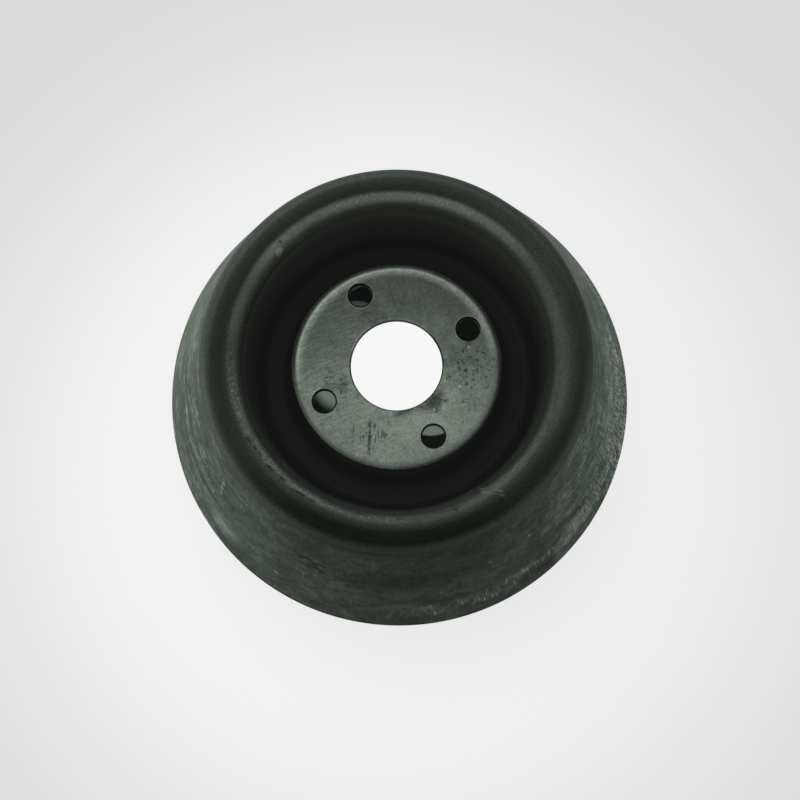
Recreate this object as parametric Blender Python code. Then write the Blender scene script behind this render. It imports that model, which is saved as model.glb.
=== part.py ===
"""Hub of a mixed-flow fan impeller, number 8 size, without its blades.

One bell, spun and pressed from a steel sheet, stands on its large rim. Its cone, on which the
blades would be welded, rises to a rounded crest. From the crest the sheet turns down inside,
runs round a deep groove and comes up again as a round boss with a flat top, which has the
bore for the shaft and four bolt holes round it.

Metres, +Z up. The origin is the centre of the rim, on the floor.
"""

import math

import bmesh
import bpy
from mathutils import Matrix, Vector

# Driving sizes of the bell
IMPELLER_DIAMETER = 0.800
HUB_RATIO = 0.5
RIM_RADIUS = IMPELLER_DIAMETER * HUB_RATIO / 2
HUB_HEIGHT = 0.165
SHEET = 0.0045
CREST_RADIUS = 0.138
SHOULDER_ROUNDING = 0.010
LIP_ROUNDING = 0.025
GROOVE_DEPTH = 0.080
GROOVE_ROUNDING = 0.012
BOSS_RADIUS = 0.082
BOSS_RECESS = 0.037
BOSS_ROUNDING = 0.007

# Driving sizes of the bore and the bolt holes
BORE_RADIUS = 0.0355
EDGE_BREAK = 0.001
BOLT_HOLE_RADIUS = 0.00875
BOLT_CIRCLE_RADIUS = 0.0625
BOLT_COUNT = 4
FIRST_BOLT_ANGLE = math.radians(27.0)

# Heights that follow from them
GROOVE_FLOOR = HUB_HEIGHT - GROOVE_DEPTH
BOSS_TOP = HUB_HEIGHT - BOSS_RECESS

# Fineness of the turned shapes
SEGMENTS = 72
SHOULDER_STEPS = 4
LIP_STEPS = 6
GROOVE_STEPS = 3
BOSS_STEPS = 3
HOLE_SIDES = 24
CUTTER_OVERRUN = 0.004
SHARP_ANGLE = math.radians(35.0)

BLACKENED_STEEL = {"color": (0.060, 0.070, 0.062, 1.0), "metallic": 0.6, "roughness": 0.50}


def remove_all_objects():
    """Empty the scene and drop the meshes that nothing uses any more."""
    for obj in list(bpy.data.objects):
        bpy.data.objects.remove(obj, do_unlink=True)
    for mesh in [mesh for mesh in bpy.data.meshes if mesh.users == 0]:
        bpy.data.meshes.remove(mesh)


def finish_material(name, finish):
    """Principled material with one colour, metallic value and roughness."""
    material = bpy.data.materials.new(name)
    material.use_nodes = True
    material.diffuse_color = finish["color"]
    shader = material.node_tree.nodes["Principled BSDF"]
    shader.inputs["Base Color"].default_value = finish["color"]
    shader.inputs["Metallic"].default_value = finish["metallic"]
    shader.inputs["Roughness"].default_value = finish["roughness"]
    return material


def arc(center, radius, start, end, steps):
    """Points of an arc in the (radius, height) plane, angles in degrees from outwards."""
    points = []
    for step in range(steps + 1):
        angle = math.radians(start + (end - start) * step / steps)
        points.append((center[0] + radius * math.cos(angle), center[1] + radius * math.sin(angle)))
    return points


def cone_half_angle():
    """Half angle, in degrees, of the cone that joins the rim to the shoulder's rounding."""
    across = RIM_RADIUS - CREST_RADIUS
    up = HUB_HEIGHT - SHOULDER_ROUNDING
    line_to_center = math.atan2(across, up)
    tangent = math.asin(SHOULDER_ROUNDING / math.hypot(across, up))
    return math.degrees(line_to_center - tangent)


def sheet_line(depth):
    """One face of the bell's sheet from the rim to the boss's flat, at a depth below the outer face."""
    half_angle = cone_half_angle()
    wall_radius = CREST_RADIUS - LIP_ROUNDING
    floor_center = GROOVE_FLOOR + GROOVE_ROUNDING
    floor_rounding = GROOVE_ROUNDING + depth

    line = [(RIM_RADIUS - depth / math.cos(math.radians(half_angle)), 0.0)]
    shoulder = (CREST_RADIUS, HUB_HEIGHT - SHOULDER_ROUNDING)
    line += arc(shoulder, SHOULDER_ROUNDING - depth, half_angle, 90, SHOULDER_STEPS)
    lip = (CREST_RADIUS, HUB_HEIGHT - LIP_ROUNDING)
    line += arc(lip, LIP_ROUNDING - depth, 90, 180, LIP_STEPS)[1:]
    line += arc((wall_radius - GROOVE_ROUNDING, floor_center), floor_rounding, 0, -90, GROOVE_STEPS)
    line += arc((BOSS_RADIUS + GROOVE_ROUNDING, floor_center), floor_rounding, -90, -180, GROOVE_STEPS)
    boss_corner = (BOSS_RADIUS - BOSS_ROUNDING, BOSS_TOP - BOSS_ROUNDING)
    line += arc(boss_corner, BOSS_ROUNDING - depth, 0, 90, BOSS_STEPS)
    return line


def bell_section():
    """Closed section of the bell: outer face, bore with its broken edge, inner face back."""
    bore = [
        (BORE_RADIUS + EDGE_BREAK, BOSS_TOP),
        (BORE_RADIUS, BOSS_TOP - EDGE_BREAK),
        (BORE_RADIUS, BOSS_TOP - SHEET),
    ]
    return sheet_line(0.0) + bore + sheet_line(SHEET)[::-1]


def object_from(bm, name):
    """Turn a bmesh into an object in the scene and free the bmesh."""
    mesh = bpy.data.meshes.new(name)
    bm.to_mesh(mesh)
    bm.free()
    obj = bpy.data.objects.new(name, mesh)
    bpy.context.scene.collection.objects.link(obj)
    return obj


def turned_object(name, section, material):
    """Turn a closed section once round the Z axis."""
    bm = bmesh.new()
    verts = [bm.verts.new((radius, 0.0, height)) for radius, height in section]
    edges = [bm.edges.new(pair) for pair in zip(verts, verts[1:] + verts[:1])]
    bmesh.ops.spin(
        bm,
        geom=verts + edges,
        cent=(0.0, 0.0, 0.0),
        axis=(0.0, 0.0, 1.0),
        angle=math.tau,
        steps=SEGMENTS,
        use_merge=True,
    )
    bmesh.ops.recalc_face_normals(bm, faces=bm.faces)
    obj = object_from(bm, name)
    obj.data.materials.append(material)
    obj.data.shade_smooth()
    obj.data.set_sharp_from_angle(angle=SHARP_ANGLE)
    return obj


def bolt_circle_cutter(name, low, low_radius, high, high_radius):
    """Round bars or cones at the places of the bolts, from one height to another."""
    bm = bmesh.new()
    for index in range(BOLT_COUNT):
        angle = FIRST_BOLT_ANGLE + math.tau * index / BOLT_COUNT
        center = Vector((math.cos(angle), math.sin(angle), 0.0)) * BOLT_CIRCLE_RADIUS
        center.z = (low + high) / 2
        bmesh.ops.create_cone(
            bm,
            cap_ends=True,
            segments=HOLE_SIDES,
            radius1=low_radius,
            radius2=high_radius,
            depth=high - low,
            matrix=Matrix.Translation(center),
        )
    cutter = object_from(bm, name)
    cutter.hide_render = True
    cutter.display_type = "WIRE"
    return cutter


def cut(obj, cutter):
    """Take the cutter's bars or cones out of an object."""
    modifier = obj.modifiers.new(cutter.name, "BOOLEAN")
    modifier.operation = "DIFFERENCE"
    modifier.solver = "EXACT"
    modifier.object = cutter


def build():
    """Make the bell, drill the bolt holes and break their upper edges."""
    remove_all_objects()
    bell = turned_object("hub_shell", bell_section(), finish_material("blackened_steel", BLACKENED_STEEL))
    drill_low = BOSS_TOP - SHEET - CUTTER_OVERRUN
    drill_high = BOSS_TOP + CUTTER_OVERRUN
    cut(bell, bolt_circle_cutter("drills", drill_low, BOLT_HOLE_RADIUS, drill_high, BOLT_HOLE_RADIUS))
    cone_low = BOSS_TOP - 2 * EDGE_BREAK
    cone_high = BOSS_TOP + EDGE_BREAK
    narrow = BOLT_HOLE_RADIUS - EDGE_BREAK
    wide = BOLT_HOLE_RADIUS + 2 * EDGE_BREAK
    cut(bell, bolt_circle_cutter("countersinks", cone_low, narrow, cone_high, wide))


build()
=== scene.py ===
# %% [markdown]
# The hub of a mixed-flow fan impeller, seen from its small end.
#
# On the real machine this bell turns with the motor shaft and carries the blades on its cone.
# Here it is bare: one steel sheet, spun and pressed into a cone, a rounded crest, a deep ring
# groove and a flat boss with a bore and four bolt holes. The lesson builds it in the order that
# a workshop would: section, turning, drilling, then the skin of the steel, and at last the light.

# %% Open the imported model
import math

import bmesh
import bpy
from mathutils import Matrix, Vector


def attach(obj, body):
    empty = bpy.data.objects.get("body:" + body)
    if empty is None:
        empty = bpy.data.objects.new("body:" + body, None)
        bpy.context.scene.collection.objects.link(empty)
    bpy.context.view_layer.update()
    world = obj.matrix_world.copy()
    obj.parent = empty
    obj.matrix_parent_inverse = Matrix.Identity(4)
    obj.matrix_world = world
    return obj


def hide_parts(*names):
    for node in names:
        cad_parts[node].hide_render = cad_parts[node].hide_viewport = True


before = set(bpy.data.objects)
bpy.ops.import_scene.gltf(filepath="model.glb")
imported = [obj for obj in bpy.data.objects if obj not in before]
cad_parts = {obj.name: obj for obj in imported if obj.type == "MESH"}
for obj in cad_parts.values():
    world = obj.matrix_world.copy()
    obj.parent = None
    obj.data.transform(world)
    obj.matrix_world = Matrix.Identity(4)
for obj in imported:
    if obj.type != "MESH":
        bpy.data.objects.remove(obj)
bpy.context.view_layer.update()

# %% [markdown]
# ## Sizes
#
# The sizes are in metres. The bell stands on its large rim, so height zero is the floor. Only a
# few sizes drive the shape: where the rim, the crest and the boss are, how thick the sheet is, and
# how round each bend is.

# %% Sizes of the bell
RIM_RADIUS = 0.200
HUB_HEIGHT = 0.165
SHEET = 0.0045
CREST_RADIUS = 0.138
SHOULDER_ROUNDING = 0.010
LIP_ROUNDING = 0.025
GROOVE_FLOOR = 0.085
GROOVE_ROUNDING = 0.012
BOSS_RADIUS = 0.082
BOSS_TOP = 0.128
BOSS_ROUNDING = 0.007
BORE_RADIUS = 0.0355
BOLT_HOLE_RADIUS = 0.00875
BOLT_CIRCLE_RADIUS = 0.0625
BOLT_COUNT = 4
FIRST_BOLT_ANGLE = math.radians(27.0)
EDGE_BREAK = 0.001
RIM_EDGE_BREAK = 0.0005
WALL_RADIUS = CREST_RADIUS - LIP_ROUNDING
print("groove, mm:", round(1000 * (WALL_RADIUS - BOSS_RADIUS), 1), "wide")

# %% [markdown]
# ## The camera
#
# The picture is taken from above with a long lens, leaning ten degrees off the bell's axis. The
# lens and the place come from the ellipses of the rim, crest and boss: a circle seen at a slant
# shrinks one way only, and the circles' centres drift apart with their height.

# %% Camera
camera_data = bpy.data.cameras.new("camera")
camera_data.sensor_width = 36.0
camera_data.lens = 54.0
camera = bpy.data.objects.new("camera", camera_data)
bpy.context.scene.collection.objects.link(camera)
right = Vector((0.99990, 0.0, -0.01423))
up = Vector((0.00246, 0.98491, 0.17306))
back = right.cross(up)
turn = Matrix((right, up, back)).transposed().to_4x4()
camera.matrix_world = Matrix.Translation((0.0157, -0.1875, 1.0381)) @ turn
bpy.context.scene.camera = camera
print("camera looks down at", round(math.degrees(math.asin(back.z)), 1), "degrees")

# %% [markdown]
# ## The section
#
# Spinning presses a turning sheet against a former, so the whole bell is one line turned about
# the axis. The line is drawn as short arcs joined by straights. One function walks it from the
# rim to the boss's flat at any depth below the outer face: depth zero is the face that shows,
# and the sheet's thickness gives the face on the inside.

# %% Arcs and the sheet's line
SHOULDER_STEPS = 10
LIP_STEPS = 18
BEND_STEPS = 8


def arc(center, radius, start, end, steps):
    """Points of an arc in the (radius, height) plane, angles in degrees from outwards."""
    angles = [math.radians(start + (end - start) * step / steps) for step in range(steps + 1)]
    return [(center[0] + radius * math.cos(a), center[1] + radius * math.sin(a)) for a in angles]


def cone_half_angle():
    """Half angle, in degrees, of the cone between the rim and the shoulder."""
    across = RIM_RADIUS - CREST_RADIUS
    rise = HUB_HEIGHT - SHOULDER_ROUNDING
    tangent = math.asin(SHOULDER_ROUNDING / math.hypot(across, rise))
    return math.degrees(math.atan2(across, rise) - tangent)


def sheet_line(depth):
    """One face of the sheet, from the rim to the boss's flat."""
    half_angle = cone_half_angle()
    shoulder_center = (CREST_RADIUS, HUB_HEIGHT - SHOULDER_ROUNDING)
    lip_center = (CREST_RADIUS, HUB_HEIGHT - LIP_ROUNDING)
    wall_foot_center = (WALL_RADIUS - GROOVE_ROUNDING, GROOVE_FLOOR + GROOVE_ROUNDING)
    boss_foot_center = (BOSS_RADIUS + GROOVE_ROUNDING, GROOVE_FLOOR + GROOVE_ROUNDING)
    boss_corner_center = (BOSS_RADIUS - BOSS_ROUNDING, BOSS_TOP - BOSS_ROUNDING)
    foot_rounding = GROOVE_ROUNDING + depth
    line = [(RIM_RADIUS - depth / math.cos(math.radians(half_angle)), 0.0)]
    line += arc(shoulder_center, SHOULDER_ROUNDING - depth, half_angle, 90, SHOULDER_STEPS)
    line += arc(lip_center, LIP_ROUNDING - depth, 90, 180, LIP_STEPS)[1:]
    line += arc(wall_foot_center, foot_rounding, 0, -90, BEND_STEPS)
    line += arc(boss_foot_center, foot_rounding, -90, -180, BEND_STEPS)
    line += arc(boss_corner_center, BOSS_ROUNDING - depth, 0, 90, BEND_STEPS)
    return line


cone_angle = cone_half_angle()
print("the cone leans", round(cone_angle, 2), "degrees")

# %% [markdown]
# The bore's front edge is turned with a small rounding, which catches a thin line of light, and
# the rim's cut edge is only deburred. Both are a few more points of the same closed section.

# %% Closed section
EDGE_STEPS = 4


def bell_section():
    """Outer face, bore with its rounded edge, inner face back, deburred rim."""
    front = sheet_line(0.0)
    edge_center = (BORE_RADIUS + EDGE_BREAK, BOSS_TOP - EDGE_BREAK)
    bore = arc(edge_center, EDGE_BREAK, 90, 180, EDGE_STEPS) + [(BORE_RADIUS, BOSS_TOP - SHEET)]
    inside = sheet_line(SHEET)[::-1]
    lean = math.tan(math.radians(cone_angle))
    front[0] = (RIM_RADIUS - RIM_EDGE_BREAK * lean, RIM_EDGE_BREAK)
    return front + bore + inside + [(RIM_RADIUS - RIM_EDGE_BREAK, 0.0)]


section = bell_section()
print("the section has", len(section), "points")

# %% [markdown]
# ## Turning
#
# A bmesh holds the section's points and edges, and spin sweeps them once round the axis. The
# last step meets the first, so the doubles are merged there. A spun shape can come out with its
# faces inwards, so the normals are recalculated before anything is cut.

# %% Turn the section
TURN_STEPS = 288
MERGE_GAP = 1e-6


def turned(points, steps, center=(0.0, 0.0, 0.0)):
    """A bmesh swept once round an upright axis from a line of (radius, height) points."""
    bm = bmesh.new()
    x, y, z = center
    verts = [bm.verts.new((x + radius, y, z + height)) for radius, height in points]
    edges = [bm.edges.new(pair) for pair in zip(verts, verts[1:] + verts[:1])]
    sweep = {"angle": math.tau, "steps": steps, "use_merge": True}
    bmesh.ops.spin(bm, geom=verts + edges, cent=center, axis=(0.0, 0.0, 1.0), **sweep)
    bmesh.ops.remove_doubles(bm, verts=bm.verts, dist=MERGE_GAP)
    bmesh.ops.recalc_face_normals(bm, faces=bm.faces)
    return bm


def object_from(bm, name):
    """An object of the scene from a bmesh."""
    mesh = bpy.data.meshes.new(name)
    bm.to_mesh(mesh)
    bm.free()
    obj = bpy.data.objects.new(name, mesh)
    bpy.context.scene.collection.objects.link(obj)
    return obj


bell = object_from(turned(section, TURN_STEPS), "bell")
print("turned bell:", len(bell.data.polygons), "faces")

# %% [markdown]
# ## Drilling
#
# The four bolt holes stand on one circle round the bore. A drill is itself a turned shape: a
# straight bar that flares at the top, so it rounds the hole's upper edge as it cuts. All four
# are one cutter object, taken out with a Boolean, whose result is kept as the bell's mesh.

# %% Drills
DRILL_STEPS = 48
DRILL_ABOVE = 0.004
DRILL_BELOW = 0.012


def drill_section():
    """Half section of a drill whose shank rounds the edge of the hole."""
    flare_center = (BOLT_HOLE_RADIUS + EDGE_BREAK, BOSS_TOP - EDGE_BREAK)
    flare = arc(flare_center, EDGE_BREAK, 180, 90, EDGE_STEPS)
    top = BOSS_TOP + DRILL_ABOVE
    tip = BOSS_TOP - DRILL_BELOW
    return [(0.0, tip), (BOLT_HOLE_RADIUS, tip)] + flare + [(flare[-1][0], top), (0.0, top)]


drills = bmesh.new()
for index in range(BOLT_COUNT):
    angle = FIRST_BOLT_ANGLE + math.tau * index / BOLT_COUNT
    place = (BOLT_CIRCLE_RADIUS * math.cos(angle), BOLT_CIRCLE_RADIUS * math.sin(angle), 0.0)
    one = turned(drill_section(), DRILL_STEPS, place)
    drill_mesh = bpy.data.meshes.new("drill")
    one.to_mesh(drill_mesh)
    one.free()
    drills.from_mesh(drill_mesh)
    bpy.data.meshes.remove(drill_mesh)
cutter = object_from(drills, "drills")
print(BOLT_COUNT, "drills, mm across:", 2000 * BOLT_HOLE_RADIUS)

# %% Drill the bolt holes
drilling = bell.modifiers.new("drilling", "BOOLEAN")
drilling.operation = "DIFFERENCE"
drilling.solver = "EXACT"
drilling.object = cutter
drilled = bpy.data.meshes.new_from_object(bell.evaluated_get(bpy.context.evaluated_depsgraph_get()))
bell.modifiers.clear()
bell.data = drilled
bpy.data.objects.remove(cutter, do_unlink=True)
print("drilled bell:", len(bell.data.polygons), "faces")

# %% [markdown]
# Bends of spun sheet are smooth, cut edges are not. Faces are shaded smooth and edges sharper
# than 32 degrees are marked, so the rim and the backs of the holes stay crisp. Weighted normals
# let the big flat of the boss win over the small faces of the holes' rounded edges.

# %% Shade the bell
SHARP_ANGLE = math.radians(32.0)
bell.data.shade_smooth()
bell.data.set_sharp_from_angle(angle=SHARP_ANGLE)
weighted = bell.modifiers.new("weighted_normals", "WEIGHTED_NORMAL")
weighted.keep_sharp = True
weighted.weight = 50
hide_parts("hub_shell")
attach(bell, "root")
print("the bell is shaded, and stands in for hub_shell")

# %% [markdown]
# ## How far along the sheet
#
# The skin needs to know how far along the sheet a place lies, from the rim over the crest to the
# bore. A plain coordinate can't tell that, because the sheet folds back on itself. So each point
# of the mesh looks for its nearest place on the section's line, and keeps the length up to there
# and its depth in the sheet, which is 0 on the outer face and 1 on the inner one.

# %% Length along the sheet
outer_line = [Vector((radius, height)) for radius, height in sheet_line(0.0)]
outer_line.append(Vector((BORE_RADIUS, BOSS_TOP)))


def place_in_section(radius, height):
    """The length from the rim to the nearest place of the section's line, and the gap to it."""
    here = Vector((radius, height))
    best_gap, best_length, walked = math.inf, 0.0, 0.0
    for start, end in zip(outer_line, outer_line[1:]):
        stretch = end - start
        share = min(1.0, max(0.0, (here - start).dot(stretch) / stretch.length_squared))
        gap = (start + share * stretch - here).length
        if gap < best_gap:
            best_gap, best_length = gap, walked + share * stretch.length
        walked += stretch.length
    return best_length, best_gap


CREST_AT = place_in_section(CREST_RADIUS, HUB_HEIGHT)[0]
WALL_AT = place_in_section(WALL_RADIUS, HUB_HEIGHT - LIP_ROUNDING)[0]
FLAT_AT = place_in_section(BOSS_RADIUS - BOSS_ROUNDING, BOSS_TOP)[0]
print("crest, wall and flat begin at, mm:", [round(1000 * v, 1) for v in (CREST_AT, WALL_AT, FLAT_AT)])

# %% Keep the length on the mesh
places = []
for vertex in bell.data.vertices:
    places.append(place_in_section(math.hypot(vertex.co.x, vertex.co.y), vertex.co.z))
along_sheet = bell.data.attributes.new("along_sheet", "FLOAT", "POINT")
along_sheet.data.foreach_set("value", [length for length, gap in places])
depth_in_sheet = bell.data.attributes.new("depth_in_sheet", "FLOAT", "POINT")
depth_in_sheet.data.foreach_set("value", [gap / SHEET for length, gap in places])
print("kept on", len(places), "points of the mesh")

# %% [markdown]
# The other way round is needed too: a mark is known by its compass angle and its length along
# the sheet, and its place in space follows by walking the same line.

# %% Place of a mark
def place_at(azimuth, along):
    """The point of the outer face at an angle in degrees and a length from the rim."""
    left = along
    for start, end in zip(outer_line, outer_line[1:]):
        stretch = (end - start).length
        if left <= stretch:
            break
        left -= stretch
    radius, height = start.lerp(end, left / stretch)
    angle = math.radians(azimuth)
    return Vector((radius * math.cos(angle), radius * math.sin(angle), height))


print("a place on the lip, mm:", [round(1000 * v, 1) for v in place_at(270.0, CREST_AT + 0.013)])

# %% [markdown]
# ## Helpers for node trees
#
# The skin of the steel is drawn by shader nodes. Short helpers keep that readable: they add a
# node or two, give its sockets a link or a number, and hand back what it puts out. The first
# ones work with plain numbers. Most of a noise lies between the two values named here.

# %% Node helpers for numbers
NOISE_LOW = 0.36
NOISE_HIGH = 0.64


class NumberTree:
    """A node tree with short calls for the nodes that work with numbers."""

    def __init__(self, tree):
        self.tree = tree

    def node(self, kind, **settings):
        """A new node with its properties set."""
        node = self.tree.nodes.new(kind)
        for key, value in settings.items():
            setattr(node, key, value)
        return node

    def put(self, socket, value):
        """Give a socket a link or a constant."""
        if isinstance(value, bpy.types.NodeSocket):
            self.tree.links.new(value, socket)
        else:
            socket.default_value = value

    def math(self, operation, a, b=0.0, c=0.0, clamp=False):
        """The output of a Math node."""
        node = self.node("ShaderNodeMath", operation=operation, use_clamp=clamp)
        for socket, value in zip(node.inputs, (a, b, c)):
            self.put(socket, value)
        return node.outputs[0]

    def times(self, *factors):
        """The product of several values."""
        product = factors[0]
        for factor in factors[1:]:
            product = self.math("MULTIPLY", product, factor)
        return product

    def most(self, *values):
        """The largest of several values."""
        largest = values[0]
        for value in values[1:]:
            largest = self.math("MAXIMUM", largest, value)
        return largest

    def step(self, value, low, high, to_low=0.0, to_high=1.0):
        """A smooth step of value between low and high."""
        node = self.node("ShaderNodeMapRange", interpolation_type="SMOOTHSTEP")
        for socket, given in zip(node.inputs, (value, low, high, to_low, to_high)):
            self.put(socket, given)
        return node.outputs[0]

    def band(self, value, rise, top, fall, end):
        """One between top and fall, and zero below rise and above end."""
        return self.times(self.step(value, rise, top), self.step(value, fall, end, 1.0, 0.0))

    def vary(self, mark, low, high):
        """A factor from low to high, as a noise goes through the middle of its range."""
        node = self.node("ShaderNodeMapRange", interpolation_type="LINEAR", clamp=True)
        for socket, given in zip(node.inputs, (mark, NOISE_LOW, NOISE_HIGH, low, high)):
            self.put(socket, given)
        return node.outputs[0]

    def within(self, zone, factor):
        """A factor that counts in a zone only, and is one elsewhere."""
        return self.math("MULTIPLY_ADD", zone, self.math("SUBTRACT", factor, 1.0), 1.0)

    def blend(self, factor, a, b):
        """A number mixed from a to b."""
        node = self.node("ShaderNodeMix", data_type="FLOAT")
        for socket, value in zip((node.inputs[0], node.inputs[2], node.inputs[3]), (factor, a, b)):
            self.put(socket, value)
        return node.outputs[0]


print("helpers for numbers ready")

# %% [markdown]
# The other helpers work with places, noises, colours and what the mesh keeps. They extend the
# first ones.

# %% Node helpers for places and colours
GIVES_A_NUMBER = ("LENGTH", "DISTANCE", "DOT_PRODUCT")


class Tree(NumberTree):
    """A node tree with short calls for all the nodes that this lesson uses."""

    def vector(self, x, y, z):
        """A vector from three numbers."""
        node = self.node("ShaderNodeCombineXYZ")
        for socket, value in zip(node.inputs, (x, y, z)):
            self.put(socket, value)
        return node.outputs[0]

    def vector_math(self, operation, a, b=(0.0, 0.0, 0.0)):
        """The output of a Vector Math node."""
        node = self.node("ShaderNodeVectorMath", operation=operation)
        self.put(node.inputs[0], a)
        self.put(node.inputs[1], b)
        return node.outputs["Value" if operation in GIVES_A_NUMBER else "Vector"]

    def scaled(self, vector, factor):
        """A vector made longer or shorter."""
        node = self.node("ShaderNodeVectorMath", operation="SCALE")
        self.put(node.inputs[0], vector)
        self.put(node.inputs["Scale"], factor)
        return node.outputs[0]

    def split(self, vector):
        """The three numbers of a vector."""
        node = self.node("ShaderNodeSeparateXYZ")
        self.put(node.inputs[0], vector)
        return node.outputs

    def noise(self, vector, scale, detail=2.0, roughness=0.5, distortion=0.0):
        """The value of a 3D noise, around a half."""
        node = self.node("ShaderNodeTexNoise", noise_dimensions="3D")
        given = {"Vector": vector, "Scale": scale, "Detail": detail}
        given |= {"Roughness": roughness, "Distortion": distortion}
        for name, value in given.items():
            self.put(node.inputs[name], value)
        return node.outputs["Fac"]

    def mix(self, factor, a, b):
        """A colour mixed from a to b."""
        node = self.node("ShaderNodeMix", data_type="RGBA")
        for socket, value in zip((node.inputs[0], node.inputs[6], node.inputs[7]), (factor, a, b)):
            self.put(socket, value)
        return node.outputs[2]

    def attribute(self, name):
        """The number that each point of the mesh keeps under a name."""
        node = self.node("ShaderNodeAttribute", attribute_type="GEOMETRY", attribute_name=name)
        return node.outputs["Fac"]

    def use(self, group, **inputs):
        """Place a group, with its inputs given by name, and return its outputs."""
        node = self.node("ShaderNodeGroup", node_tree=group)
        for name, value in inputs.items():
            self.put(node.inputs[name.replace("_", " ")], value)
        return node.outputs


print("helpers for places, noises and colours ready")

# %% [markdown]
# A mark that is drawn in more than one place is a node group. It is built once, with named inputs
# and outputs, and placed wherever it is needed with values of its own. An input here has a number
# to start with, or None if it is a vector.

# %% Start a node group
def new_group(name, inputs, outputs):
    """A shader node group, from the names of its sockets with what they start with or their type."""
    tree = bpy.data.node_groups.new(name, "ShaderNodeTree")
    for label, number in inputs.items():
        kind = "NodeSocketVector" if number is None else "NodeSocketFloat"
        socket = tree.interface.new_socket(name=label, in_out="INPUT", socket_type=kind)
        if number is not None:
            socket.default_value = number
    for label, kind in outputs.items():
        tree.interface.new_socket(name=label, in_out="OUTPUT", socket_type="NodeSocket" + kind)
    shorthand = Tree(tree)
    print("new group:", name)
    return shorthand, shorthand.node("NodeGroupInput").outputs, shorthand.node("NodeGroupOutput").inputs


print("node groups can be started")

# %% [markdown]
# ## Round the axis
#
# Some marks repeat round the axis. An angle jumps where it starts again, and so would a pattern
# on it. A level arrow of length one, away from the axis, turns smoothly all the way round.

# %% Group: away from the axis
group, given, result = new_group("away_from_axis", {"Position": None}, {"Away": "Vector"})
x, y = group.split(given["Position"])[:2]
group.put(result["Away"], group.vector_math("NORMALIZE", group.vector(x, y, 0.0)))
away_from_axis = group.tree

# %% [markdown]
# ## Rings of the spinning
#
# The roller leaves fine rings that come and go round the bell. A noise does this when it is
# stretched: slow across the bell in x and y, and fast along the sheet.

# %% Group: spinning rings
ring_inputs = {"Position": None, "Along": 0.0, "Rings": 700.0, "Breaks": 20.0}
group, given, result = new_group("spinning_rings", ring_inputs, {"Mark": "Float"})
x, y = group.split(given["Position"])[:2]
stretched = group.vector(
    group.times(x, given["Breaks"]),
    group.times(y, given["Breaks"]),
    group.times(given["Along"], given["Rings"]),
)
group.put(result["Mark"], group.noise(stretched, 1.0, detail=3.0, roughness=0.6))
spinning_rings = group.tree

# %% [markdown]
# ## Ticks across the cone
#
# Where the bell was dragged over a bench, short ticks run from the rim towards the crest. They
# are the same trick turned round: fast round the axis, slow along the sheet.

# %% Group: drag ticks
tick_inputs = {"Position": None, "Along": 0.0, "Count": 150.0, "Per Metre": 120.0}
group, given, result = new_group("drag_ticks", tick_inputs, {"Mark": "Float"})
x, y = group.split(group.use(away_from_axis, Position=given["Position"])["Away"])[:2]
stretched = group.vector(
    group.times(x, given["Count"]),
    group.times(y, given["Count"]),
    group.times(given["Along"], given["Per Metre"]),
)
group.put(result["Mark"], group.noise(stretched, 1.0, detail=1.0, roughness=0.5))
drag_ticks = group.tree

# %% [markdown]
# ## Ragged patches
#
# A rubbed place, a stain or a nick is a spot with an uneven edge: the distance from its centre,
# as a share of its size, frayed by a noise that is handed in. The spot is full up to about half
# its size, and is gone a little past it.

# %% Group: ragged patch
PATCH_FULL = 0.45
PATCH_GONE = 1.05
FRAYING = 4.0
patch_inputs = {"Position": None, "Centre": None, "Noise": 0.5, "Size": 0.01, "Ragged": 0.5}
group, given, result = new_group("ragged_patch", patch_inputs, {"Mask": "Float"})
distance = group.vector_math("DISTANCE", given["Position"], given["Centre"])
share = group.math("DIVIDE", distance, given["Size"])
uneven = group.math("SUBTRACT", given["Noise"], 0.5)
edge = group.math("MULTIPLY_ADD", uneven, group.times(given["Ragged"], FRAYING), share)
group.put(result["Mask"], group.step(edge, PATCH_FULL, PATCH_GONE, 1.0, 0.0))
ragged_patch = group.tree

# %% [markdown]
# ## Streaks and scratches
#
# A scratch is a straight line between two places, and a wiped streak is a wide one. The nearest
# place on the line is found by a dot product held between zero and one. The mark fades at both
# ends, and a noise that is handed in breaks it up.

# %% Group: streak
streak_inputs = {"Position": None, "Start": None, "End": None}
streak_inputs |= {"Noise": 0.5, "Width": 0.0006, "Broken": 1.0}
group, given, result = new_group("streak", streak_inputs, {"Mask": "Float"})
line = group.vector_math("SUBTRACT", given["End"], given["Start"])
here = group.vector_math("SUBTRACT", given["Position"], given["Start"])
whole = group.vector_math("DOT_PRODUCT", line, line)
part = group.vector_math("DOT_PRODUCT", here, line)
share = group.math("DIVIDE", part, whole, clamp=True)
gap = group.vector_math("DISTANCE", here, group.scaled(line, share))
kept = group.blend(given["Broken"], 1.0, group.step(given["Noise"], 0.40, 0.56))
faded = group.times(group.band(share, 0.0, 0.2, 0.8, 1.0), kept)
group.put(result["Mask"], group.times(faded, group.step(gap, 0.0, given["Width"], 1.0, 0.0)))
streak = group.tree
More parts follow.
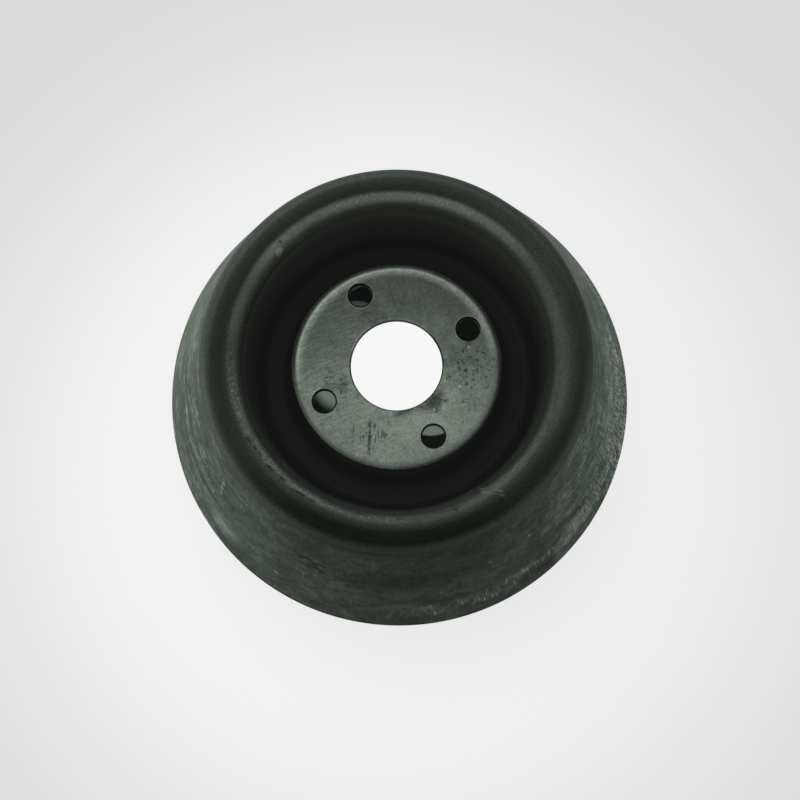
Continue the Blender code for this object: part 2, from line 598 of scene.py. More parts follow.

# %% [markdown]
# ## Gap to the nearest cut edge
#
# The punched bolt holes have dark rounded edges, the bore's edge is painted dark on its lower
# side as shade, and both have a fine raised burr outside them whose upper side gets a painted
# highlight. The four holes are alike, so a place is first turned and mirrored into the wedge of one
# hole, and then a single distance serves all four. The bore is a distance from the axis.

# %% Group: gap to a cut edge
gap_outputs = {"Hole": "Float", "Bore": "Float"}
group, given, result = new_group("gap_to_edge", {"Position": None}, gap_outputs)
x, y = group.split(given["Position"])[:2]
cosine = math.cos(FIRST_BOLT_ANGLE)
sine = math.sin(FIRST_BOLT_ANGLE)
turned_x = group.math("ABSOLUTE", group.math("MULTIPLY_ADD", x, cosine, group.times(y, sine)))
turned_y = group.math("ABSOLUTE", group.math("MULTIPLY_ADD", y, cosine, group.times(x, -sine)))
wedge_x = group.math("MAXIMUM", turned_x, turned_y)
wedge = group.vector(wedge_x, group.math("MINIMUM", turned_x, turned_y), 0.0)
to_hole = group.vector_math("DISTANCE", wedge, (BOLT_CIRCLE_RADIUS, 0.0, 0.0))
from_axis = group.vector_math("LENGTH", group.vector(x, y, 0.0))
group.put(result["Hole"], group.math("SUBTRACT", to_hole, BOLT_HOLE_RADIUS))
group.put(result["Bore"], group.math("SUBTRACT", from_axis, BORE_RADIUS))
gap_to_edge = group.tree

# %% [markdown]
# ## Blackened steel
#
# The skin is one Principled shader. Its node tree asks three things of the mesh: where a place
# is, how far along the sheet it lies, and whether it is on the outer face. The sides of the bell
# are told apart by the level arrow away from the axis, which is compared with a compass angle.

# %% Material and places
steel = bpy.data.materials.new("blackened_steel")
steel.use_nodes = True
tree = Tree(steel.node_tree)
shader = steel.node_tree.nodes["Principled BSDF"]
position = tree.node("ShaderNodeTexCoord").outputs["Object"]
x, y = tree.split(position)[:2]
along = tree.attribute("along_sheet")
outer = tree.step(tree.attribute("depth_in_sheet"), 0.02, 0.30, 1.0, 0.0)
away_x, away_y = tree.split(tree.use(away_from_axis, Position=position)["Away"])[:2]


def side(azimuth, full, none):
    """One towards an angle, up to full degrees off it, and zero beyond none degrees off it."""
    angle = math.radians(azimuth)
    facing = tree.math("MULTIPLY_ADD", away_x, math.cos(angle), tree.times(away_y, math.sin(angle)))
    return tree.step(facing, math.cos(math.radians(none)), math.cos(math.radians(full)))


def on_sheet(landmark, *stops, measure=along):
    """A band along the sheet, with its rise, top, fall and end in metres past a landmark."""
    return tree.band(measure, *[landmark + stop for stop in stops])


def toned(value, zone, factor):
    """A value times a factor that counts in a zone only."""
    return tree.times(value, tree.within(zone, factor))


def toned_sides(value, rows):
    """A value with sides of some zones toned, from rows of a zone, a side and a factor."""
    for zone, azimuth, full, none, factor in rows:
        value = toned(value, tree.times(zone, side(azimuth, full, none)), factor)
    return value


print("the tree can tell sides, lengths and the outer face")

# %% [markdown]
# ### Zones
#
# The sheet was blackened all over and then oiled. The cone is hazy from handling, a ring on the
# lip is rubbed grey, and the boss's flat has been wiped and faced bare. Some zones also carry
# painted light: the sides of the cone and the crest are painted lighter or darker as painted sheen
# and shade, the groove is painted dark as the shade of a deep recess, and the flat's upper corner
# gets a painted highlight. The lip's ring doesn't run true: it is nearer the crest at the top, and
# further in at the bottom.

# %% Zones of the skin
cone = tree.step(along, CREST_AT - 0.020, CREST_AT - 0.008, 1.0, 0.0)
low_cone = tree.step(along, 0.080, 0.150, 1.0, 0.0)
high_cone = tree.band(along, 0.080, 0.120, 0.166, 0.172)
shoulder = on_sheet(CREST_AT, -0.016, -0.011, -0.006, -0.002)
crest = on_sheet(CREST_AT, -0.006, -0.001, 0.006, 0.011)
ring_line = tree.math("MULTIPLY_ADD", side(90.0, 40.0, 110.0), 0.0015, along)
ring_line = tree.math("MULTIPLY_ADD", side(268.0, 30.0, 65.0), -0.0030, ring_line)
lip = on_sheet(CREST_AT, 0.0095, 0.0143, 0.0158, 0.0228, measure=ring_line)
lip_outside = on_sheet(CREST_AT, -0.0060, 0.0060, 0.0110, 0.0165)
lip_inside = on_sheet(CREST_AT, 0.0165, 0.0205, 0.0225, 0.0265)
groove = tree.band(along, CREST_AT + 0.020, CREST_AT + 0.030, FLAT_AT - 0.009, FLAT_AT - 0.006)
groove_floor = on_sheet(WALL_AT, 0.038, 0.048, 0.082, 0.092)
boss_wall = tree.band(along, WALL_AT + 0.082, WALL_AT + 0.092, FLAT_AT - 0.012, FLAT_AT - 0.009)
upper = side(95.0, 75.0, 105.0)
corner = tree.times(on_sheet(FLAT_AT, -0.0095, -0.0065, -0.0010, 0.0050), outer)
# Painted highlight: the boss's corner on its upper side, where the flat's tone also reaches further out.
upper_corner_highlight = tree.times(corner, upper)
flat_above = tree.times(upper, tree.step(along, FLAT_AT - 0.0095, FLAT_AT - 0.0085))
flat_below = tree.step(along, FLAT_AT - 0.0080, FLAT_AT - 0.0060)
flat = tree.times(outer, tree.most(flat_above, flat_below))
print("zones: cone, shoulder, crest, lip, groove, corner and flat")

# %% Cut edges in the flat
gap = tree.use(gap_to_edge, Position=position)
face = tree.step(along, FLAT_AT, FLAT_AT + 0.002)
bore_lit = side(105.0, 45.0, 75.0)
bore_unlit = tree.math("SUBTRACT", 1.0, bore_lit)
hole_edge = tree.step(gap["Hole"], 0.0008, 0.0014, 1.0, 0.0)
# Painted shade: the bore's edge is dark on its lower side only.
bore_edge_shade = tree.times(tree.step(gap["Bore"], 0.0006, 0.0011, 1.0, 0.0), bore_unlit)
edge = tree.times(face, tree.most(hole_edge, bore_edge_shade))
# Painted highlight: the burrs are lighter on their upper side only.
hole_burr_highlight = tree.times(tree.band(gap["Hole"], 0.0011, 0.0015, 0.0018, 0.0026), side(112.0, 75.0, 95.0))
bore_burr_highlight = tree.times(tree.band(gap["Bore"], -0.0005, 0.0002, 0.0014, 0.0022), bore_lit)
burr = tree.times(face, tree.most(hole_burr_highlight, bore_burr_highlight))
print("edges and burrs of the holes and the bore")

# %% [markdown]
# ### Patterns
#
# A few noises serve most of the marks. Clouds, mottle, speckle and grain are alike in every
# direction, from coarse to fine. Rings, dashes and dapples are drawn out round the bell, and
# ticks and drawn lines run up it. Making each noise once keeps the tree small.

# %% Patterns
clouds = tree.noise(position, 26.0, detail=6.0, roughness=0.68, distortion=0.5)
mottle = tree.noise(position, 150.0, detail=5.0, roughness=0.65)
speckle = tree.noise(position, 420.0, detail=2.0, roughness=0.6)
grain = tree.noise(position, 620.0, detail=2.0, roughness=0.7)


def marks_round(per_metre_along, per_metre_round):
    """Marks that are drawn out round the bell."""
    given = {"Rings": per_metre_along, "Breaks": per_metre_round}
    return tree.use(spinning_rings, Position=position, Along=along, **given)["Mark"]


def marks_up(per_radian, per_metre_along):
    """Marks that are drawn out from the rim towards the crest."""
    given = {"Count": per_radian, "Per_Metre": per_metre_along}
    return tree.use(drag_ticks, Position=position, Along=along, **given)["Mark"]


rings = marks_round(420.0, 26.0)
dashes = marks_round(480.0, 150.0)
dapples = marks_round(110.0, 48.0)
ticks = marks_up(120.0, 50.0)
drawn = marks_up(140.0, 60.0)
print("nine patterns, from clouds to drawn lines")

# %% [markdown]
# ### How much it reflects
#
# One number, how bright the metal is, carries all the marks. It starts as one value for the
# cone, and each side of the bell makes that lighter or darker by a factor. These side factors are
# painted sheen and painted shade, for how the room's light falls on each side of the cone, the
# shoulder and the crest. A factor counts in its own zone only and fades out at its ends, so the
# steps can be stacked without a seam.

# %% Brightness of the cone and the crest
CONE_BRIGHT = 0.110
# Painted sheen and shade: each row lightens or darkens one side of a zone for how light falls there.
PAINTED_LIGHT_SIDES = [
    (cone, 6.0, 25.0, 65.0, 1.45),
    (cone, 236.0, 12.0, 42.0, 1.45),
    (cone, 148.0, 12.0, 28.0, 1.06),
    (cone, 190.0, 20.0, 45.0, 1.20),
    (cone, 322.0, 28.0, 60.0, 1.15),
    (low_cone, 8.0, 18.0, 36.0, 1.40),
    (high_cone, 270.0, 22.0, 45.0, 0.74),
    (shoulder, 90.0, 75.0, 110.0, 0.55),
    (crest, 262.0, 22.0, 55.0, 0.60),
]
bright = toned_sides(CONE_BRIGHT, PAINTED_LIGHT_SIDES)
# Painted sheen and shade on the crest: lighter at the top, darker elsewhere.
bright = toned(bright, crest, tree.blend(side(90.0, 45.0, 95.0), 0.85, 1.25))
print(len(PAINTED_LIGHT_SIDES), "sides of the cone, the shoulder and the crest toned")

# %% [markdown]
# The groove, the lip and the flat don't follow the cone, so each gets its own value in its zone.
# The groove is painted dark as the shade of its deep recess, darkest on its floor, with its upper
# wall and the boss's wall painted a little lighter where light reaches in. The lip's rubbed ring is
# painted lighter at the top and on some sides as a painted highlight, and darker on others as
# painted shade. Its ring comes and goes round the bell.

# %% Brightness of the groove and the lip
# Painted shade of the groove: the upper wall lighter, the floor darkest, the boss's wall lighter.
groove_painted_shade_and_light = tree.blend(side(95.0, 25.0, 90.0), 0.022, 0.060)
groove_painted_shade_and_light = tree.blend(groove_floor, groove_painted_shade_and_light, 0.012)
groove_painted_shade_and_light = tree.blend(boss_wall, groove_painted_shade_and_light, 0.050)
bright = tree.blend(groove, bright, groove_painted_shade_and_light)

# The ring is real rubbed wear; its brightness by side is painted highlight and painted shade.
LIP_PAINTED_LIGHT_SIDES = [
    (272.0, 15.0, 35.0, 0.62),
    (230.0, 20.0, 60.0, 1.70),
    (10.0, 20.0, 60.0, 0.75),
    (153.0, 12.0, 24.0, 1.75),
    (30.0, 14.0, 28.0, 1.30),
]
lip_rub_and_highlight = tree.blend(side(92.0, 12.0, 64.0), 0.14, 0.42)
for azimuth, full, none, factor in LIP_PAINTED_LIGHT_SIDES:
    lip_rub_and_highlight = toned(lip_rub_and_highlight, side(azimuth, full, none), factor)
lip_rub_and_highlight = toned(lip_rub_and_highlight, side(265.0, 75.0, 115.0), tree.vary(dashes, 0.74, 1.34))
bright = tree.blend(lip, bright, lip_rub_and_highlight)
# Painted shade beside the lip, on its flanks on a few sides.
BESIDE_LIP_PAINTED_SHADE = [
    (lip_outside, 284.0, 34.0, 62.0, 0.50),
    (lip_inside, 310.0, 85.0, 125.0, 0.72),
    (lip_inside, 242.0, 10.0, 24.0, 0.72),
]
bright = toned_sides(bright, BESIDE_LIP_PAINTED_SHADE)
print("groove, and", len(LIP_PAINTED_LIGHT_SIDES), "sides of the lip toned")

# %% Brightness of the flat and its corner
# The flat is darker towards the top and lighter towards the bottom.
flat_bright = tree.step(y, -0.065, 0.065, 0.72, 0.265)
bright = tree.blend(flat, bright, flat_bright)
# Painted highlight on the upper side of the boss's corner.
bright = tree.blend(upper_corner_highlight, bright, 0.80)
print("flat and upper corner toned")

# %% [markdown]
# ### Texture of each zone
#
# The patterns belong to places. The cone is cloudy and mottled all over. Its left side has rings,
# dashes and blotches from the roller, and its right side has dapples, with drawn lines near the
# rim.

# %% Where the patterns are on the cone
ringed = tree.times(cone, tree.most(side(185.0, 25.0, 50.0), tree.times(side(0.0, 25.0, 50.0), 0.4)))
drawn_zone = tree.times(tree.step(along, 0.045, 0.110, 1.0, 0.0), side(4.0, 22.0, 48.0))
dashed_band = tree.times(tree.band(along, 0.050, 0.080, 0.128, 0.150), side(168.0, 18.0, 46.0))
dashed = tree.most(dashed_band, tree.times(cone, side(174.0, 18.0, 48.0), 0.5))
dappled = tree.times(cone, side(345.0, 30.0, 62.0))
blotched = tree.times(cone, side(168.0, 16.0, 38.0))
print("zones for rings, drawn lines, dashes, dapples and blotches")

# %% [markdown]
# The flat was wiped with a rag, in strokes that climb a little to the right. They are a noise
# that is turned with the strokes and squeezed across them.

# %% Strokes on the flat
WIPE_X = 0.94
WIPE_Y = 0.34
wiped_along = tree.math("MULTIPLY_ADD", x, WIPE_X, tree.times(y, WIPE_Y))
wiped_across = tree.math("MULTIPLY_ADD", x, -WIPE_Y, tree.times(y, WIPE_X))
strokes = tree.vector(tree.times(wiped_along, 70.0), tree.times(wiped_across, 650.0), 0.0)
wiped = tree.noise(strokes, 1.0, detail=2.0)
wiped_zone = tree.times(flat, side(170.0, 25.0, 110.0))
print("strokes climb at", round(math.degrees(math.atan2(WIPE_Y, WIPE_X))), "degrees")

# %% [markdown]
# Now one list gives each zone its patterns, with the darkest and the lightest factor that each
# pattern brings. Fine grain lies over everything.

# %% Textures
TEXTURES = [
    (cone, clouds, 0.70, 1.40),
    (cone, mottle, 0.80, 1.22),
    (ringed, rings, 0.74, 1.30),
    (drawn_zone, drawn, 0.55, 1.70),
    (dashed, dashes, 0.45, 1.95),
    (dappled, dapples, 0.82, 1.24),
    (tree.times(dappled, 0.3), dashes, 0.72, 1.40),
    (blotched, dapples, 0.66, 1.50),
    (flat, clouds, 0.84, 1.18),
    (flat, mottle, 0.92, 1.09),
    (wiped_zone, wiped, 0.84, 1.13),
]
for zone, pattern, darkest, lightest in TEXTURES:
    bright = toned(bright, zone, tree.vary(pattern, darkest, lightest))
bright = tree.times(bright, tree.vary(grain, 0.84, 1.19))
print(len(TEXTURES), "textures, and the grain")

# %% [markdown]
# ### Wear on the cone
#
# Two dull bands with a light one between them, on the left of the cone, come from the press.
# Near the rim on the lower right the bell was dragged, which left light upright ticks. The rim's
# own edge is bright where it was knocked, and painted black beside that as a painted shadow where
# it meets the floor.

# %% Pressed bands
pressed = side(194.0, 14.0, 26.0)
dull_bands = tree.most(
    tree.band(along, 0.062, 0.067, 0.072, 0.076),
    tree.band(along, 0.089, 0.092, 0.096, 0.100),
)
light_band = tree.band(along, 0.074, 0.078, 0.086, 0.090)
bright = toned(bright, tree.times(pressed, dull_bands), tree.vary(speckle, 0.35, 0.95))
bright = toned(bright, tree.times(pressed, light_band), tree.vary(speckle, 0.90, 1.65))
print("two dull bands and a light one")

# %% Ticks and the rim's edge
fine_ticks = tree.step(ticks, 0.58, 0.70)
near_rim = tree.band(along, 0.018, 0.026, 0.044, 0.056)
mid_cone = tree.band(along, 0.085, 0.095, 0.115, 0.125)
above_bands = tree.band(along, 0.098, 0.102, 0.116, 0.124)
dragged = tree.most(
    tree.times(near_rim, side(302.0, 18.0, 40.0)),
    tree.times(mid_cone, side(350.0, 12.0, 30.0), 0.5),
    tree.times(above_bands, pressed, 0.8),
    tree.times(cone, 0.25),
)
bright = toned(bright, tree.times(dragged, fine_ticks), 2.0)
edge_of_rim = tree.step(along, 0.0025, 0.0045, 1.0, 0.0)
RIM_WEAR_AND_SHADOW = [
    (near_rim, 302.0, 18.0, 38.0, 1.45),
    (edge_of_rim, 216.0, 4.0, 8.0, 2.4),
    # Painted shadow along the rim's edge, where it meets the floor.
    (edge_of_rim, 243.0, 14.0, 24.0, 0.25),
]
bright = toned_sides(bright, RIM_WEAR_AND_SHADOW)
print("ticks, the dragged band and the rim's edge")

# %% [markdown]
# ### Single marks
#
# What is left are marks that happened once: a nick, a rubbed spot, a stain, a scratch. Each is a
# line in a list. A patch has its place as a landmark, an angle and how far along the sheet it is
# past the landmark, then its size, how ragged it is, and a factor for how much brighter or darker
# it leaves the metal. A large patch is frayed by the clouds, and a small one by the finer mottle.

# %% Patches
RIM_AT = 0.0
COARSE_PATCH = 0.015
PATCHES = [
    ("rubbed patch, lower left", RIM_AT, 218.0, 0.041, 0.019, 0.5, 1.6),
    ("its lower end", RIM_AT, 223.5, 0.043, 0.011, 0.7, 1.3),
    ("nick beside it", RIM_AT, 237.2, 0.046, 0.0034, 0.4, 2.2),
    ("pits on the lower left", RIM_AT, 246.4, 0.111, 0.011, 1.8, 0.5),
    ("nick on the lower right", RIM_AT, 308.4, 0.1095, 0.0022, 0.4, 2.2),
    ("nick at the bottom", RIM_AT, 295.6, 0.106, 0.0022, 0.4, 2.0),
    ("nick on the right", RIM_AT, 357.2, 0.1045, 0.0026, 0.9, 2.1),
    ("nick a little lower", RIM_AT, 347.4, 0.1005, 0.0026, 0.9, 1.9),
    ("stain low on the cone", RIM_AT, 290.0, 0.068, 0.026, 1.2, 0.86),
    ("smudge near the rim", RIM_AT, 307.5, 0.032, 0.019, 0.9, 0.5),
    ("stain at the crest", RIM_AT, 262.0, 0.1, 0.04, 1.0, 0.9),
    ("light patch on the lip, top left", CREST_AT, 129.5, 0.016, 0.01, 0.5, 1.25),
    ("nick below the light patch", CREST_AT, 137.2, 0.0194, 0.0036, 0.9, 2.2),
    ("dark dot between them", CREST_AT, 134.6, 0.0135, 0.0014, 0.3, 0.3),
    ("chip on the lip", CREST_AT, 291.0, 0.0165, 0.0026, 0.8, 0.35),
    ("stain beside the bore", FLAT_AT, 316.0, 0.0325, 0.0075, 1.2, 0.4),
    ("stain right of the bore", FLAT_AT, 2.0, 0.026, 0.013, 1.6, 0.76),
    ("stain left of the bore", FLAT_AT, 199.0, 0.028, 0.011, 1.7, 0.74),
    ("stain above the bore", FLAT_AT, 112.0, 0.03, 0.01, 1.0, 0.8),
    ("drop on the lower edge", FLAT_AT, 246.6, -0.0011, 0.0017, 0.1, 4.0),
    ("drop beside a hole", FLAT_AT, 14.0, 0.0174, 0.0013, 0.1, 2.0),
    ("drop right of the bore", FLAT_AT, 341.1, 0.0355, 0.0012, 0.1, 2.0),
    ("drop further right", FLAT_AT, 341.1, 0.0233, 0.0015, 0.2, 2.0),
]


def patch_at(azimuth, length, size, ragged, noise):
    """The mask of a patch whose edge is frayed by a noise."""
    frayed = {"Noise": noise, "Ragged": ragged}
    place = place_at(azimuth, length)
    return tree.use(ragged_patch, Position=position, Centre=place, Size=size, **frayed)["Mask"]


for name, landmark, azimuth, past, size, ragged, factor in PATCHES:
    noise = clouds if size > COARSE_PATCH else mottle
    bright = toned(bright, patch_at(azimuth, landmark + past, size, ragged, noise), factor)
print(len(PATCHES), "patches")

# %% [markdown]
# A streak has a landmark and two places, where it starts and where it ends, then half its width,
# how broken it is, and its factor. The gouges on the lip are streaks as well, dark ones with a
# light raised edge.

# %% Streaks
STREAKS = [
    ("rubbed line above the patch", RIM_AT, (214.8, 0.09), (213.6, 0.138), 0.003, 0.3, 2.0),
    ("rubbed line on the left", RIM_AT, (203.0, 0.004), (207.5, 0.056), 0.006, 0.7, 1.4),
    ("light dash on the right", RIM_AT, (10.0, 0.0985), (2.0, 0.102), 0.0022, 0.6, 1.6),
    ("gouge on the lip", CREST_AT, (208.0, 0.0125), (218.5, 0.0145), 0.0026, 0.5, 0.12),
    ("second gouge", CREST_AT, (219.5, 0.0135), (230.5, 0.015), 0.0024, 0.5, 0.12),
    ("third gouge", CREST_AT, (231.0, 0.0135), (243.0, 0.015), 0.0022, 0.6, 0.2),
    ("raised edge of the gouges", CREST_AT, (209.0, 0.0165), (244.0, 0.018), 0.0022, 0.5, 1.7),
    ("scratch at the top of the wall", CREST_AT, (91.5, 0.074), (80.8, 0.017), 0.0016, 0.3, 3.6),
    ("its upper end", CREST_AT, (82.0, 0.026), (76.5, 0.006), 0.0014, 0.2, 2.6),
    ("scuff over the right lip", CREST_AT, (301.4, 0.0275), (308.0, 0.009), 0.0017, 0.2, 5.0),
    ("second scuff beside it", CREST_AT, (301.6, 0.0215), (307.6, 0.005), 0.0015, 0.3, 4.2),
    ("scratch down the wall from it", CREST_AT, (300.5, 0.038), (303.0, 0.022), 0.0014, 0.3, 2.6),
    ("scratch over the lip, lower left", CREST_AT, (238.0, -0.004), (243.0, 0.018), 0.0009, 0.6, 1.8),
    ("smear along the bore's edge", FLAT_AT, (332.0, 0.0335), (298.0, 0.0335), 0.0065, 0.6, 0.3),
    ("its thin end", FLAT_AT, (306.0, 0.0355), (264.0, 0.0345), 0.005, 0.8, 0.35),
    ("dried run below the bore", FLAT_AT, (243.4, 0.0292), (254.0, -0.001), 0.0024, 0.9, 0.15),
    ("shorter run beside it", FLAT_AT, (232.6, 0.0209), (240.9, 0.0065), 0.0011, 0.9, 0.35),
    ("hair crack above the bore", FLAT_AT, (96.0, 0.005), (91.0, 0.03), 0.0007, 0.6, 0.55),
]
for name, landmark, (azimuth, past), (end_azimuth, end_past), width, broken, factor in STREAKS:
    ends = {"Start": place_at(azimuth, landmark + past), "End": place_at(end_azimuth, landmark + end_past)}
    line = tree.use(streak, Position=position, Noise=mottle, Width=width, Broken=broken, **ends)
    bright = toned(bright, line["Mask"], factor)
print(len(STREAKS), "streaks")

# %% [markdown]
# ### Lip, flat and cut edges
#
# Along the lower left the rubbed ring of the lip is broken by dark pits and light flecks, and a
# fine dark crease runs below it on two sides. The flat has fine dark specks, thick to the right
# and the left of the bore, and a few dark runs of dried oil below it.

# %% Pits, flecks and crease of the lip
scarred = side(228.0, 38.0, 62.0)
pits = tree.times(lip, scarred, tree.step(dashes, 0.56, 0.64))
bright = toned(bright, pits, 0.35)
flecked = tree.most(
    scarred,
    tree.times(side(45.0, 25.0, 50.0), 0.5),
    tree.times(side(106.0, 5.0, 12.0), 0.8),
)
flecks = tree.times(lip, flecked, tree.step(speckle, 0.54, 0.64))
bright = toned(bright, flecks, 1.7)
crease = on_sheet(CREST_AT, 0.0246, 0.0254, 0.0262, 0.0270)
creased = tree.most(side(165.0, 25.0, 45.0), side(320.0, 15.0, 35.0))
bright = toned(bright, tree.times(crease, creased), 0.45)
print("lip: pits, flecks and crease")

# %% Specks and runs on the flat
SPECKS_EVERYWHERE = 0.18
specks = tree.noise(position, 360.0, detail=1.5, roughness=0.6)
right_specks = patch_at(352.0, FLAT_AT + 0.023, 0.024, 1.0, clouds)
left_specks = patch_at(196.0, FLAT_AT + 0.023, 0.022, 1.0, clouds)
speck_zone = tree.most(right_specks, left_specks, SPECKS_EVERYWHERE)
bright = toned(bright, tree.times(flat, speck_zone, tree.step(specks, 0.59, 0.64)), 0.35)
run_noise = tree.noise(tree.vector(tree.times(x, 520.0), tree.times(y, 120.0), 0.0), 1.0, detail=2.0)
run_zone = patch_at(249.5, FLAT_AT + 0.014, 0.016, 0.7, mottle)
runs = tree.times(flat, run_zone, tree.step(run_noise, 0.55, 0.63))
bright = toned(bright, runs, 0.30)
print("flat: specks and dried runs")

# %% [markdown]
# A painted dark line parts the flat from its corner on the upper and right sides: it is a painted
# reflection of the dark groove in the corner's rounding. The bolt holes' cut edges were never
# rubbed, so they stay black, the bore's edge is painted dark on its lower side as shade, and the
# burr outside gets a painted highlight on its upper side. The inside of the bell is never handled,
# and has one even value.

# %% Dark line, edges and the inside
INSIDE_BRIGHT = 0.060
EDGE_BRIGHT = 0.010
# Painted reflection: a dark line in the corner's rounding, on the upper and right sides.
painted_dark_reflection = on_sheet(FLAT_AT, -0.0068, -0.0061, -0.0054, -0.0046)
reflecting_sides = tree.most(upper, tree.times(side(330.0, 40.0, 65.0), 0.8))
bright = toned(bright, tree.times(painted_dark_reflection, reflecting_sides), 0.40)
# Painted highlight on the upper side of the burrs.
bright = toned(bright, burr, 1.45)
bright = tree.blend(outer, INSIDE_BRIGHT, bright)
# The holes' edges are black oxide; the bore's edge is painted shade on its lower side.
bright = tree.blend(edge, bright, EDGE_BRIGHT)
print("edges done, and the inside is plain")

# %% [markdown]
# ### Colour
#
# The oil and the oxide give all of it one slight green cast, so the colour is the brightness
# times one tint. Just below the lip a few flecks of rust have come through.

# %% Colour
BLACK = (0.0, 0.0, 0.0, 1.0)
OILED_TINT = (0.93, 1.0, 0.93, 1.0)
RUST = (0.085, 0.058, 0.046, 1.0)
rusty = on_sheet(CREST_AT, 0.021, 0.026, 0.042, 0.060)
rusty = tree.times(rusty, tree.step(speckle, 0.55, 0.62), tree.step(clouds, 0.44, 0.56))
color = tree.mix(rusty, tree.mix(bright, BLACK, OILED_TINT), RUST)
tree.put(shader.inputs["Base Color"], color)
print("colour: one green cast, and rust below the lip")

# %% [markdown]
# ### Gloss
#
# Where the skin is rubbed bright its oxide is broken up, so it mirrors less. The lip, the groove
# and the inside are dull, and the flat's upper corner is the glossiest. The tint of the specular
# light keeps reflections at a grazing angle as dark and green as the rest.

# %% Gloss
inside = tree.math("SUBTRACT", 1.0, outer)
dull_skin = tree.most(lip, groove, inside)
metallic = tree.blend(dull_skin, tree.step(bright, 0.10, 0.50, 0.90, 0.55), 0.12)
metallic = tree.blend(flat, metallic, 0.35)
metallic = tree.blend(upper_corner_highlight, metallic, 0.80)
metallic = tree.blend(edge, metallic, 1.0)
tree.put(shader.inputs["Metallic"], metallic)
shader.inputs["Specular Tint"].default_value = (0.64, 0.70, 0.65, 1.0)
scattering = tree.most(lip, tree.times(flat, 0.6))
roughness = tree.math("ADD", tree.blend(scattering, 0.37, 0.55), tree.vary(mottle, -0.04, 0.05))
roughness = tree.blend(corner, roughness, 0.36)
tree.put(shader.inputs["Roughness"], roughness)
print("gloss set")

# %% [markdown]
# The groove is so deep that almost no light comes back out of it, yet in a picture such a place
# is a very dark grey and not quite black. A very faint glow on its outer face gives that. It is
# left out when light is sampled, because it is far too weak to light anything.

# %% Glow of the groove
GROOVE_GLOW = (0.0050, 0.0052, 0.0050, 1.0)
in_groove = tree.times(groove, outer)
tree.put(shader.inputs["Emission Color"], tree.mix(in_groove, BLACK, GROOVE_GLOW))
shader.inputs["Emission Strength"].default_value = 1.0
steel.cycles.emission_sampling = "NONE"
print("faint glow in the groove")

# %% [markdown]
# ### Relief
#
# The roller's rings, the grain and the burrs can be felt with a fingernail. The heights are in
# metres, so the Bump node's distance stays 1.

# %% Relief
RING_HEIGHT = 0.00007
BURR_HEIGHT = 0.00006
GRAIN_HEIGHT = 0.00003
relief = tree.math("ADD", tree.times(grain, GRAIN_HEIGHT), tree.times(rings, ringed, RING_HEIGHT))
relief = tree.math("ADD", relief, tree.times(burr, BURR_HEIGHT))
bump = tree.node("ShaderNodeBump")
bump.inputs["Strength"].default_value = 0.7
bump.inputs["Distance"].default_value = 1.0
tree.put(bump.inputs["Height"], relief)
tree.put(shader.inputs["Normal"], bump.outputs[0])
bell.data.materials.clear()
bell.data.materials.append(steel)
print("the skin has", len(steel.node_tree.nodes), "nodes")

# %% [markdown]
# ## Floor
#
# A pale sheet of paper that glows softly, and a little less far from the bell. It is kept out of
# reflections, so the sheen of the cone comes from the light of the room alone. Under the bell the
# paper is painted dark as the bell's shade, and its glow there is painted light: a few glowing
# spots, a bright one that fills the bore, and dim ones that show through the bolt holes as grey
# patches.

# %% Floor sheet
FLOOR_HALF_SIZE = 6.0
floor_mesh = bpy.data.meshes.new("floor")
floor_bm = bmesh.new()
bmesh.ops.create_grid(floor_bm, x_segments=1, y_segments=1, size=FLOOR_HALF_SIZE)
floor_bm.to_mesh(floor_mesh)
floor_bm.free()
floor = bpy.data.objects.new("floor", floor_mesh)
bpy.context.scene.collection.objects.link(floor)
floor.visible_glossy = False
print("floor, m:", 2 * FLOOR_HALF_SIZE, "wide")

# %% Floor paper
PAPER = (0.62, 0.58, 0.62, 1.0)
PAPER_IN_PAINTED_SHADE = (0.13, 0.15, 0.13, 1.0)
WHITE_LIGHT = (1.0, 1.0, 1.0, 1.0)
GREENISH_LIGHT = (0.80, 1.00, 0.83, 1.0)
GLOW_UNDER_BELL = 0.004
paper = bpy.data.materials.new("floor_paper")
paper.use_nodes = True
tree = Tree(paper.node_tree)
shader = paper.node_tree.nodes["Principled BSDF"]
spot = tree.node("ShaderNodeTexCoord").outputs["Object"]
reach = tree.vector_math("LENGTH", spot)
from_pool = tree.vector_math("DISTANCE", spot, (0.0, -0.060, 0.0))
open_glow = tree.step(from_pool, 0.20, 0.50, 0.72, 0.52)
outside_rim = tree.step(reach, 0.193, 0.197)
glow = tree.blend(outside_rim, GLOW_UNDER_BELL, open_glow)
# Painted light on the paper under the bell, seen through the bore and the bolt holes.
LIT_SPOTS = [
    ((-0.038, 0.0545), 0.030, 0.001, 0.050),
    ((-0.053, 0.0085), 0.020, 0.006, 0.170),
    ((0.028, -0.0066), 0.030, 0.001, 0.160),
    ((-0.002, 0.025), 0.044, 0.001, 0.93),
]
for (spot_x, spot_y), size, soft, amount in LIT_SPOTS:
    away = tree.vector_math("DISTANCE", spot, (spot_x, spot_y, 0.0))
    glow = tree.blend(tree.step(away, size - soft, size + soft, 1.0, 0.0), glow, amount)
open_floor = tree.step(reach, 0.185, 0.197)
# Under the bell the paper is painted dark, as shade.
tree.put(shader.inputs["Base Color"], tree.mix(open_floor, PAPER_IN_PAINTED_SHADE, PAPER))
shader.inputs["Roughness"].default_value = 1.0
shader.inputs["Specular IOR Level"].default_value = 0.0
bright_spot = tree.step(glow, 0.2, 0.5)
tree.put(shader.inputs["Emission Color"], tree.mix(bright_spot, GREENISH_LIGHT, WHITE_LIGHT))
tree.put(shader.inputs["Emission Strength"], glow)
floor.data.materials.append(paper)
print("floor with", len(LIT_SPOTS), "lit spots under the bell")

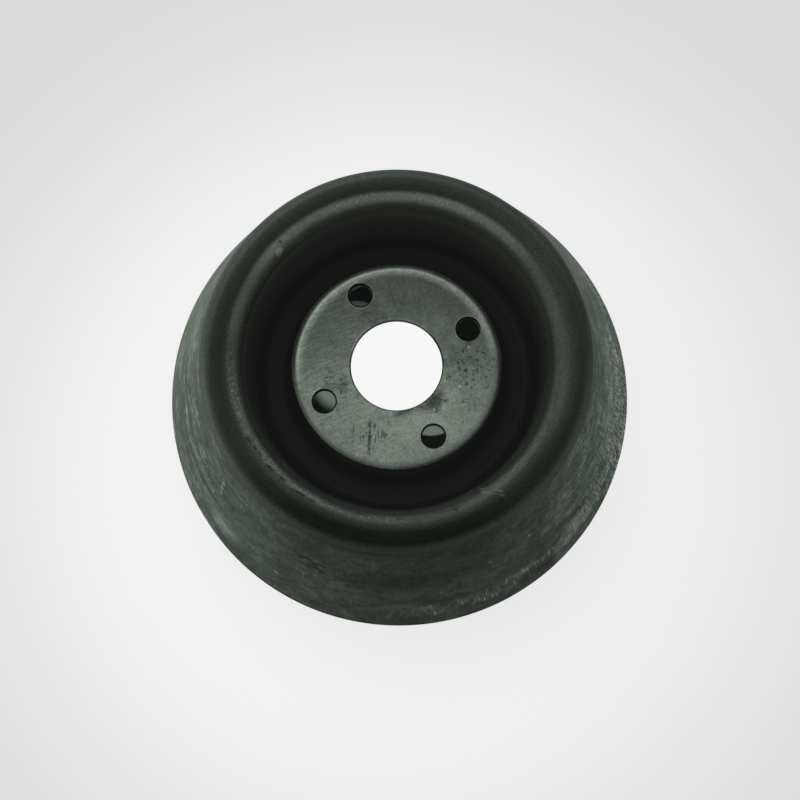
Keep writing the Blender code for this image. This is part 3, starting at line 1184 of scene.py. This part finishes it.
# %% [markdown]
# ## Light
#
# A soft studio with one broad bright side, behind the bell's upper left, and a weak one on its
# right. The light is given by direction: how far it leans to a side of the room, times how
# strong the room is at that height, plus a little from everywhere.

# %% World
world = bpy.data.worlds.new("studio")
bpy.context.scene.world = world
world.use_nodes = True
tree = Tree(world.node_tree)
background = world.node_tree.nodes["Background"]
x, y, z = tree.split(tree.node("ShaderNodeTexCoord").outputs["Generated"])
level = tree.vector_math("NORMALIZE", tree.vector(x, y, 0.0))


def lean(azimuth, power):
    """How far a direction leans to one side of the room, from 0 to 1."""
    angle = math.radians(azimuth)
    arrow = (math.cos(angle), math.sin(angle), 0.0)
    facing = tree.vector_math("DOT_PRODUCT", level, arrow)
    return tree.math("POWER", tree.math("MULTIPLY_ADD", facing, 0.5, 0.5, clamp=True), power)


around = tree.math("MULTIPLY_ADD", lean(131.0, 2.0), 1.34, 0.04)
around = tree.math("MULTIPLY_ADD", lean(345.0, 2.5), 0.24, around)
print("the room is brightest towards 131 degrees")

# %% [markdown]
# A colour ramp gives the strength by height, from straight down at its left end to straight up
# at its right end. It is strongest level with the bell and a little below that, and nearly dark
# straight overhead.

# %% Light by height
HEIGHT_STOPS = [
    (0.0, 0.18), (0.07, 0.22), (0.16, 0.45), (0.28, 0.80), (0.42, 1.0), (0.52, 1.0),
    (0.60, 0.82), (0.75, 0.50), (0.88, 0.34), (0.97, 0.16), (1.0, 0.04),
]
height = tree.node("ShaderNodeValToRGB")
tree.put(height.inputs[0], tree.math("MULTIPLY_ADD", z, 0.5, 0.5))
elements = height.color_ramp.elements
for place, amount in HEIGHT_STOPS[1:-1]:
    elements.new(place)
for element, (place, amount) in zip(elements, HEIGHT_STOPS):
    element.color = (amount, amount, amount, 1.0)
everywhere = tree.step(z, -0.5, 1.0, 0.12, 0.08)
strength = tree.math("MULTIPLY_ADD", around, height.outputs[0], everywhere)
tree.put(background.inputs["Strength"], strength)
background.inputs["Color"].default_value = (0.93, 1.0, 0.93, 1.0)

bpy.context.scene.view_settings.view_transform = "Standard"
print("studio light set, with", len(HEIGHT_STOPS), "stops by height")
